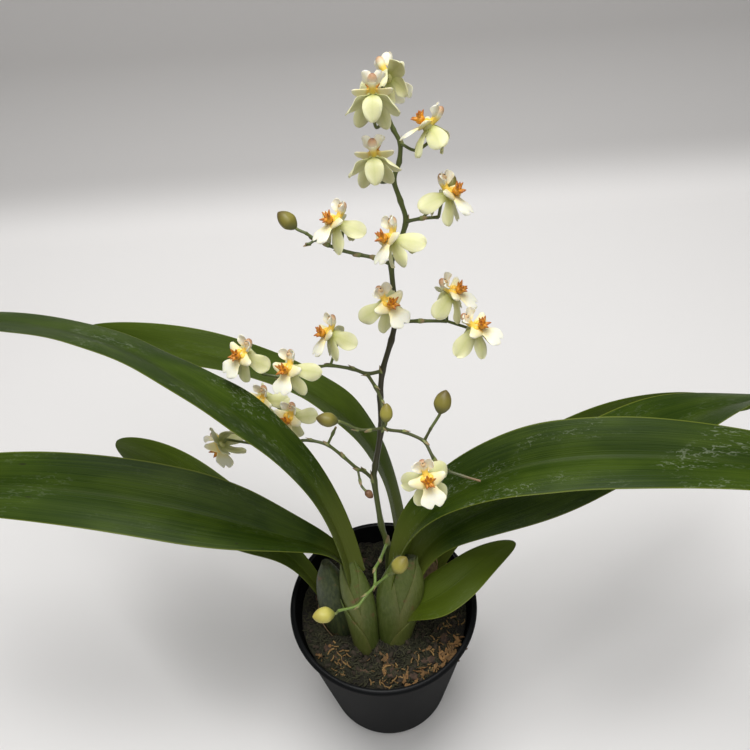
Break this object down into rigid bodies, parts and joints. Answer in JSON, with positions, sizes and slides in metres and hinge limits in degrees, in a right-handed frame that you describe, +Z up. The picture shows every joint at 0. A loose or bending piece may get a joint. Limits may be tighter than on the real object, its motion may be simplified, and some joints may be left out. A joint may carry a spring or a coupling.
{
  "type": "potted orchid",
  "caption": "Small branching orchid with cream blooms and orange crests, strap leaves and sheathed bulbs, in a round black nursery pot filled with bark and moss.",
  "frame": {"origin": "centre of the pot's underside", "axes": "+Z up, the plant is seen from -Y, its broad leaves spread along X"},
  "size_m": [0.4386, 0.1468, 0.2854],
  "materials": {
    "pot": "smooth black plastic, slightly glossy",
    "medium": null,
    "leaves": "satin green leaf (stands in for plant tissue)",
    "flower_stem": "green to purple-brown stem, satin",
    "bloom": "soft cream petal",
    "crest": "orange, satin",
    "bud": "yellow-green, satin",
    "dried_bud": "brown, dry and matt"
  },
  "bodies": {
    "root": {"back_growth": "leaves", "bloom_centre_high": "bloom", "bloom_centre_mid": "bloom", "bloom_front": "bloom", "bloom_high_left": "bloom", "bloom_high_right": "bloom", "bloom_low_far": "bloom", "bloom_low_inner": "bloom", "bloom_low_left": "bloom", "bloom_mid_front": "bloom", "bloom_mid_left": "bloom", "bloom_mid_top": "bloom", "bloom_right_high": "bloom", "bloom_right_low": "bloom", "bloom_shoulder_left": "bloom", "bloom_top_back": "bloom", "bloom_top_front": "bloom", "bloom_top_right": "bloom", "bud_centre": "bud", "bud_dried": "dried_bud", "bud_high_right": "bud", "bud_left": "bud", "bud_low": "bud", "bud_low_left": "bud", "bud_right": "bud", "bud_shoulder": "bud", "crest_centre_high": "crest", "crest_centre_mid": "crest", "crest_front": "crest", "crest_high_left": "crest", "crest_high_right": "crest", "crest_low_far": "crest", "crest_low_inner": "crest", "crest_low_left": "crest", "crest_mid_front": "crest", "crest_mid_left": "crest", "crest_mid_top": "crest", "crest_right_high": "crest", "crest_right_low": "crest", "crest_shoulder_left": "crest", "crest_top_back": "crest", "crest_top_front": "crest", "crest_top_right": "crest", "dark_growth": "leaves", "flower_stem": "flower_stem", "left_growth": "leaves", "medium": "medium", "pot": "pot", "right_growth": "leaves"}
  },
  "joints": []
}
